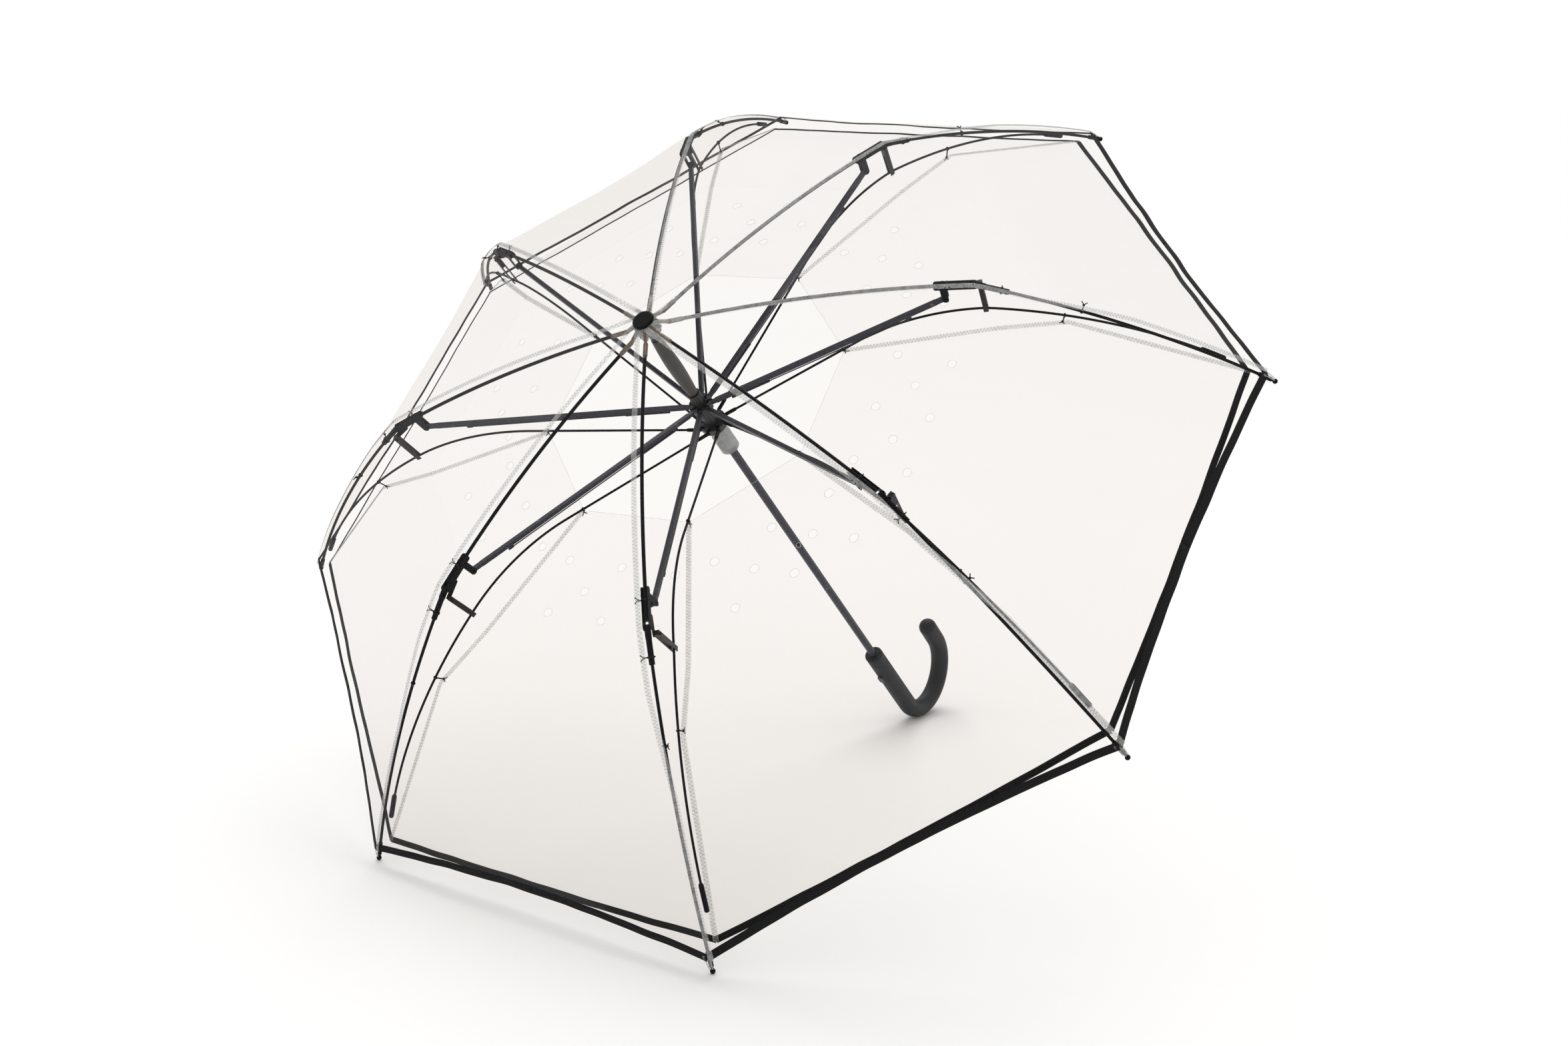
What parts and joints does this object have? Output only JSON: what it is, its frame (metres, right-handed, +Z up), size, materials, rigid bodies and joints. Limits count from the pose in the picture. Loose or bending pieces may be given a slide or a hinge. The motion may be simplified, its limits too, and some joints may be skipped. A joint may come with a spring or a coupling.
{
  "type": "clear umbrella",
  "caption": "Open clear double-canopy stick umbrella with black ribs, second thin ribs on hinged brackets, a sliding runner and a crook handle with a push button.",
  "frame": {"origin": "centre of the open umbrella's bounding box, on the floor that two rib tips and the crook rest on", "axes": "+Z up; the crown leans up and towards -Y and the crook lies towards +Y; +X is the umbrella's right seen from the crown side"},
  "size_m": [0.9286, 0.7392, 0.6751],
  "materials": {
    "spring_steel": "bare spring wire",
    "shaft_metal": "satin painted tube",
    "notch_clear": "clear moulded",
    "cap_black": "gloss moulded",
    "sleeve_plastic": "matte moulded",
    "runner_plastic": "gloss moulded",
    "collar_clear": "clear moulded",
    "handle_plastic": "soft matte",
    "button_plastic": "soft matte",
    "film_outer": "clear film with black bound edge",
    "film_inner": "clear film with round vent holes",
    "rib_fibre": "black fibreglass",
    "stretcher_metal": "dark blue-grey paint",
    "bracket_metal": "black paint",
    "thin_fibre": "black fibreglass"
  },
  "bodies": {
    "shaft": {"shaft": "shaft_metal", "opening_spring": "spring_steel", "crown_notch": "notch_clear", "crown_cap": "cap_black", "stop_sleeve": "sleeve_plastic", "handle": "handle_plastic", "canopy_outer": "film_outer", "canopy_inner": "film_inner"},
    "runner": {"runner": "runner_plastic", "runner_collar": "collar_clear"},
    "push_button": {"push_button": "button_plastic"},
    "rib_inner_1": {"rib_inner_1": "rib_fibre"},
    "rib_outer_1": {"rib_outer_1": "rib_fibre", "thin_outer_1": "thin_fibre"},
    "stretcher_1": {"stretcher_1": "stretcher_metal"},
    "bracket_1": {"bracket_1": "bracket_metal"},
    "thin_inner_1": {"thin_inner_1": "thin_fibre"},
    "rib_inner_2": {"rib_inner_2": "rib_fibre"},
    "rib_outer_2": {"rib_outer_2": "rib_fibre", "thin_outer_2": "thin_fibre"},
    "stretcher_2": {"stretcher_2": "stretcher_metal"},
    "bracket_2": {"bracket_2": "bracket_metal"},
    "thin_inner_2": {"thin_inner_2": "thin_fibre"},
    "rib_inner_3": {"rib_inner_3": "rib_fibre"},
    "rib_outer_3": {"rib_outer_3": "rib_fibre", "thin_outer_3": "thin_fibre"},
    "stretcher_3": {"stretcher_3": "stretcher_metal"},
    "bracket_3": {"bracket_3": "bracket_metal"},
    "thin_inner_3": {"thin_inner_3": "thin_fibre"},
    "rib_inner_4": {"rib_inner_4": "rib_fibre"},
    "rib_outer_4": {"rib_outer_4": "rib_fibre", "thin_outer_4": "thin_fibre"},
    "stretcher_4": {"stretcher_4": "stretcher_metal"},
    "bracket_4": {"bracket_4": "bracket_metal"},
    "thin_inner_4": {"thin_inner_4": "thin_fibre"},
    "rib_inner_5": {"rib_inner_5": "rib_fibre"},
    "rib_outer_5": {"rib_outer_5": "rib_fibre", "thin_outer_5": "thin_fibre"},
    "stretcher_5": {"stretcher_5": "stretcher_metal"},
    "bracket_5": {"bracket_5": "bracket_metal"},
    "thin_inner_5": {"thin_inner_5": "thin_fibre"},
    "rib_inner_6": {"rib_inner_6": "rib_fibre"},
    "rib_outer_6": {"rib_outer_6": "rib_fibre", "thin_outer_6": "thin_fibre"},
    "stretcher_6": {"stretcher_6": "stretcher_metal"},
    "bracket_6": {"bracket_6": "bracket_metal"},
    "thin_inner_6": {"thin_inner_6": "thin_fibre"},
    "rib_inner_7": {"rib_inner_7": "rib_fibre"},
    "rib_outer_7": {"rib_outer_7": "rib_fibre", "thin_outer_7": "thin_fibre"},
    "stretcher_7": {"stretcher_7": "stretcher_metal"},
    "bracket_7": {"bracket_7": "bracket_metal"},
    "thin_inner_7": {"thin_inner_7": "thin_fibre"},
    "rib_inner_8": {"rib_inner_8": "rib_fibre"},
    "rib_outer_8": {"rib_outer_8": "rib_fibre", "thin_outer_8": "thin_fibre"},
    "stretcher_8": {"stretcher_8": "stretcher_metal"},
    "bracket_8": {"bracket_8": "bracket_metal"},
    "thin_inner_8": {"thin_inner_8": "thin_fibre"}
  },
  "joints": [
    {"name": "rib_1_fold", "type": "hinge", "parent": "shaft", "child": "rib_inner_1", "pos_m": [0.0082, -0.20498, 0.50794], "axis": [-0.412, 0.6374, 0.6511], "range_deg": [0, 75.89], "stiffness_Nm_per_rad": 0.6, "springref_deg": -85.94, "deforming": ["canopy_outer", "canopy_inner", "opening_spring", "thin_inner_1", "thin_inner_2", "thin_inner_3", "thin_inner_4", "thin_inner_5", "thin_inner_6", "thin_inner_7", "thin_inner_8", "thin_outer_1", "thin_outer_2", "thin_outer_3", "thin_outer_4", "thin_outer_5", "thin_outer_6", "thin_outer_7", "thin_outer_8"]},
    {"name": "knuckle_1", "type": "hinge", "parent": "rib_inner_1", "child": "rib_outer_1", "pos_m": [0.25969, -0.08792, 0.55247], "axis": [-0.3433, 0.657, 0.6712], "range_deg": [-26.96, 0]},
    {"name": "stretcher_1_eye", "type": "hinge", "parent": "rib_inner_1", "child": "stretcher_1", "pos_m": [0.23417, -0.09063, 0.53898], "axis": [-0.412, 0.6374, 0.6511], "range_deg": [-151.82, 0]},
    {"name": "bracket_1_pivot", "type": "hinge", "parent": "rib_inner_1", "child": "bracket_1", "pos_m": [0.25995, -0.07788, 0.55202], "axis": [-0.412, 0.6374, 0.6511], "range_deg": [0, 95.73]},
    {"name": "thin_1_pivot", "type": "hinge", "parent": "runner", "child": "thin_inner_1", "pos_m": [0.00755, -0.09518, 0.40925], "axis": [-0.412, 0.6374, 0.6511], "range_deg": [-76.63, 0]},
    {"name": "rib_2_fold", "type": "hinge", "parent": "shaft", "child": "rib_inner_2", "pos_m": [0.00842, -0.2098, 0.50302], "axis": [0.353, 0.6545, 0.6686], "range_deg": [0, 75.92]},
    {"name": "knuckle_2", "type": "hinge", "parent": "rib_inner_2", "child": "rib_outer_2", "pos_m": [0.26665, -0.24043, 0.39667], "axis": [0.4214, 0.6344, 0.6481], "range_deg": [-26.96, 0]},
    {"name": "stretcher_2_eye", "type": "hinge", "parent": "rib_inner_2", "child": "stretcher_2", "pos_m": [0.24046, -0.22816, 0.39849], "axis": [0.353, 0.6545, 0.6686], "range_deg": [-151.82, 0]},
    {"name": "bracket_2_pivot", "type": "hinge", "parent": "rib_inner_2", "child": "bracket_2", "pos_m": [0.27158, -0.23189, 0.39468], "axis": [0.353, 0.6545, 0.6686], "range_deg": [0, 95.73]},
    {"name": "thin_2_pivot", "type": "hinge", "parent": "runner", "child": "thin_inner_2", "pos_m": [0.01241, -0.10096, 0.40335], "axis": [0.353, 0.6545, 0.6686], "range_deg": [-76.63, 0]},
    {"name": "rib_3_fold", "type": "hinge", "parent": "shaft", "child": "rib_inner_3", "pos_m": [0.00371, -0.21331, 0.49943], "axis": [0.9112, 0.2882, 0.2944], "range_deg": [0, 75.92]},
    {"name": "knuckle_3", "type": "hinge", "parent": "rib_inner_3", "child": "rib_outer_3", "pos_m": [0.11742, -0.35172, 0.28299], "axis": [0.9392, 0.2401, 0.2453], "range_deg": [-26.96, 0]},
    {"name": "stretcher_3_eye", "type": "hinge", "parent": "rib_inner_3", "child": "stretcher_3", "pos_m": [0.10588, -0.32851, 0.29597], "axis": [0.9112, 0.2882, 0.2944], "range_deg": [-151.82, 0]},
    {"name": "bracket_3_pivot", "type": "hinge", "parent": "rib_inner_3", "child": "bracket_3", "pos_m": [0.12412, -0.34654, 0.27755], "axis": [0.9112, 0.2882, 0.2944], "range_deg": [0, 95.73]},
    {"name": "thin_3_pivot", "type": "hinge", "parent": "runner", "child": "thin_inner_3", "pos_m": [0.01, -0.10745, 0.39671], "axis": [0.9112, 0.2882, 0.2944], "range_deg": [-76.63, 0]},
    {"name": "rib_4_fold", "type": "hinge", "parent": "shaft", "child": "rib_inner_4", "pos_m": [-0.00318, -0.21347, 0.49927], "axis": [0.9356, -0.2469, -0.2522], "range_deg": [0, 75.92]},
    {"name": "knuckle_4", "type": "hinge", "parent": "rib_inner_4", "child": "rib_outer_4", "pos_m": [-0.1006, -0.35659, 0.27801], "axis": [0.9069, -0.2948, -0.3011], "range_deg": [-26.96, 0]},
    {"name": "stretcher_4_eye", "type": "hinge", "parent": "rib_inner_4", "child": "stretcher_4", "pos_m": [-0.09072, -0.33291, 0.29148], "axis": [0.9356, -0.2469, -0.2522], "range_deg": [-151.82, 0]},
    {"name": "bracket_4_pivot", "type": "hinge", "parent": "rib_inner_4", "child": "bracket_4", "pos_m": [-0.09605, -0.35468, 0.26924], "axis": [0.9356, -0.2469, -0.2522], "range_deg": [0, 95.73]},
    {"name": "thin_4_pivot", "type": "hinge", "parent": "runner", "child": "thin_inner_4", "pos_m": [0.00173, -0.11085, 0.39324], "axis": [0.9356, -0.2469, -0.2522], "range_deg": [-76.63, 0]},
    {"name": "rib_5_fold", "type": "hinge", "parent": "shaft", "child": "rib_inner_5", "pos_m": [-0.0082, -0.21017, 0.50264], "axis": [0.412, -0.6374, -0.6511], "range_deg": [0, 75.92]},
    {"name": "knuckle_5", "type": "hinge", "parent": "rib_inner_5", "child": "rib_outer_5", "pos_m": [-0.25969, -0.2522, 0.38466], "axis": [0.3433, -0.657, -0.6712], "range_deg": [-26.96, 0]},
    {"name": "stretcher_5_eye", "type": "hinge", "parent": "rib_inner_5", "child": "stretcher_5", "pos_m": [-0.23417, -0.23877, 0.38765], "axis": [0.412, -0.6374, -0.6511], "range_deg": [-151.82, 0]},
    {"name": "bracket_5_pivot", "type": "hinge", "parent": "rib_inner_5", "child": "bracket_5", "pos_m": [-0.25995, -0.25153, 0.37462], "axis": [0.412, -0.6374, -0.6511], "range_deg": [0, 95.73]},
    {"name": "thin_5_pivot", "type": "hinge", "parent": "runner", "child": "thin_inner_5", "pos_m": [-0.00755, -0.10917, 0.39496], "axis": [0.412, -0.6374, -0.6511], "range_deg": [-76.63, 0]},
    {"name": "rib_6_fold", "type": "hinge", "parent": "shaft", "child": "rib_inner_6", "pos_m": [-0.00842, -0.20536, 0.50756], "axis": [-0.353, -0.6545, -0.6686], "range_deg": [0, 75.92]},
    {"name": "knuckle_6", "type": "hinge", "parent": "rib_inner_6", "child": "rib_outer_6", "pos_m": [-0.26665, -0.09969, 0.54046], "axis": [-0.4214, -0.6344, -0.6481], "range_deg": [-26.96, 0]},
    {"name": "stretcher_6_eye", "type": "hinge", "parent": "rib_inner_6", "child": "stretcher_6", "pos_m": [-0.24046, -0.10124, 0.52814], "axis": [-0.353, -0.6545, -0.6686], "range_deg": [-151.82, 0]},
    {"name": "bracket_6_pivot", "type": "hinge", "parent": "rib_inner_6", "child": "bracket_6", "pos_m": [-0.27158, -0.09752, 0.53195], "axis": [-0.353, -0.6545, -0.6686], "range_deg": [0, 95.73]},
    {"name": "thin_6_pivot", "type": "hinge", "parent": "runner", "child": "thin_inner_6", "pos_m": [-0.01241, -0.10338, 0.40087], "axis": [-0.353, -0.6545, -0.6686], "range_deg": [-76.63, 0]},
    {"name": "rib_7_fold", "type": "hinge", "parent": "shaft", "child": "rib_inner_7", "pos_m": [-0.00371, -0.20184, 0.51115], "axis": [-0.9112, -0.2882, -0.2944], "range_deg": [0, 75.92]},
    {"name": "knuckle_7", "type": "hinge", "parent": "rib_inner_7", "child": "rib_outer_7", "pos_m": [-0.11742, 0.0116, 0.65414], "axis": [-0.9392, -0.2401, -0.2453], "range_deg": [-26.96, 0]},
    {"name": "stretcher_7_eye", "type": "hinge", "parent": "rib_inner_7", "child": "stretcher_7", "pos_m": [-0.10588, -0.00089, 0.63066], "axis": [-0.9112, -0.2882, -0.2944], "range_deg": [-151.82, 0]},
    {"name": "bracket_7_pivot", "type": "hinge", "parent": "rib_inner_7", "child": "bracket_7", "pos_m": [-0.12412, 0.01714, 0.64908], "axis": [-0.9112, -0.2882, -0.2944], "range_deg": [0, 95.73]},
    {"name": "thin_7_pivot", "type": "hinge", "parent": "runner", "child": "thin_inner_7", "pos_m": [-0.01, -0.09689, 0.40751], "axis": [-0.9112, -0.2882, -0.2944], "range_deg": [-76.63, 0]},
    {"name": "rib_8_fold", "type": "hinge", "parent": "shaft", "child": "rib_inner_8", "pos_m": [0.00318, -0.20169, 0.51131], "axis": [-0.9356, 0.2469, 0.2522], "range_deg": [0, 75.92]},
    {"name": "knuckle_8", "type": "hinge", "parent": "rib_inner_8", "child": "rib_outer_8", "pos_m": [0.1006, 0.01647, 0.65912], "axis": [-0.9069, 0.2948, 0.3011], "range_deg": [-26.96, 0]},
    {"name": "stretcher_8_eye", "type": "hinge", "parent": "rib_inner_8", "child": "stretcher_8", "pos_m": [0.09072, 0.0035, 0.63515], "axis": [-0.9356, 0.2469, 0.2522], "range_deg": [-151.82, 0]},
    {"name": "bracket_8_pivot", "type": "hinge", "parent": "rib_inner_8", "child": "bracket_8", "pos_m": [0.09605, 0.02527, 0.65739], "axis": [-0.9356, 0.2469, 0.2522], "range_deg": [0, 95.73]},
    {"name": "thin_8_pivot", "type": "hinge", "parent": "runner", "child": "thin_inner_8", "pos_m": [-0.00173, -0.09349, 0.41098], "axis": [-0.9356, 0.2469, 0.2522], "range_deg": [-76.63, 0]},
    {"name": "runner_pivot", "type": "hinge", "parent": "stretcher_1", "child": "runner", "pos_m": [0.0082, -0.11923, 0.424], "axis": [-0.412, 0.6374, 0.6511], "range_deg": [0, 75.92]},
    {"name": "button_press", "type": "slide", "parent": "shaft", "child": "push_button", "axis": [-0.0175, 0.6994, 0.7145], "range_m": [0, 0.0015], "stiffness_N_per_m": 300, "springref_m": -0.003}
  ],
  "couplings": [
    {"joint": "knuckle_1", "follows": "rib_1_fold", "ratio": -0.35494},
    {"joint": "stretcher_1_eye", "follows": "rib_1_fold", "ratio": -2},
    {"joint": "bracket_1_pivot", "follows": "rib_1_fold", "ratio": 1.261},
    {"joint": "thin_1_pivot", "follows": "rib_1_fold", "ratio": -1.0094},
    {"joint": "rib_2_fold", "follows": "rib_1_fold", "ratio": 1},
    {"joint": "knuckle_2", "follows": "rib_1_fold", "ratio": -0.35494},
    {"joint": "stretcher_2_eye", "follows": "rib_1_fold", "ratio": -2},
    {"joint": "bracket_2_pivot", "follows": "rib_1_fold", "ratio": 1.261},
    {"joint": "thin_2_pivot", "follows": "rib_1_fold", "ratio": -1.0094},
    {"joint": "rib_3_fold", "follows": "rib_1_fold", "ratio": 1},
    {"joint": "knuckle_3", "follows": "rib_1_fold", "ratio": -0.35494},
    {"joint": "stretcher_3_eye", "follows": "rib_1_fold", "ratio": -2},
    {"joint": "bracket_3_pivot", "follows": "rib_1_fold", "ratio": 1.261},
    {"joint": "thin_3_pivot", "follows": "rib_1_fold", "ratio": -1.0094},
    {"joint": "rib_4_fold", "follows": "rib_1_fold", "ratio": 1},
    {"joint": "knuckle_4", "follows": "rib_1_fold", "ratio": -0.35494},
    {"joint": "stretcher_4_eye", "follows": "rib_1_fold", "ratio": -2},
    {"joint": "bracket_4_pivot", "follows": "rib_1_fold", "ratio": 1.261},
    {"joint": "thin_4_pivot", "follows": "rib_1_fold", "ratio": -1.0094},
    {"joint": "rib_5_fold", "follows": "rib_1_fold", "ratio": 1},
    {"joint": "knuckle_5", "follows": "rib_1_fold", "ratio": -0.35494},
    {"joint": "stretcher_5_eye", "follows": "rib_1_fold", "ratio": -2},
    {"joint": "bracket_5_pivot", "follows": "rib_1_fold", "ratio": 1.261},
    {"joint": "thin_5_pivot", "follows": "rib_1_fold", "ratio": -1.0094},
    {"joint": "rib_6_fold", "follows": "rib_1_fold", "ratio": 1},
    {"joint": "knuckle_6", "follows": "rib_1_fold", "ratio": -0.35494},
    {"joint": "stretcher_6_eye", "follows": "rib_1_fold", "ratio": -2},
    {"joint": "bracket_6_pivot", "follows": "rib_1_fold", "ratio": 1.261},
    {"joint": "thin_6_pivot", "follows": "rib_1_fold", "ratio": -1.0094},
    {"joint": "rib_7_fold", "follows": "rib_1_fold", "ratio": 1},
    {"joint": "knuckle_7", "follows": "rib_1_fold", "ratio": -0.35494},
    {"joint": "stretcher_7_eye", "follows": "rib_1_fold", "ratio": -2},
    {"joint": "bracket_7_pivot", "follows": "rib_1_fold", "ratio": 1.261},
    {"joint": "thin_7_pivot", "follows": "rib_1_fold", "ratio": -1.0094},
    {"joint": "rib_8_fold", "follows": "rib_1_fold", "ratio": 1},
    {"joint": "knuckle_8", "follows": "rib_1_fold", "ratio": -0.35494},
    {"joint": "stretcher_8_eye", "follows": "rib_1_fold", "ratio": -2},
    {"joint": "bracket_8_pivot", "follows": "rib_1_fold", "ratio": 1.261},
    {"joint": "thin_8_pivot", "follows": "rib_1_fold", "ratio": -1.0094},
    {"joint": "runner_pivot", "follows": "rib_1_fold", "ratio": 1}
  ]
}
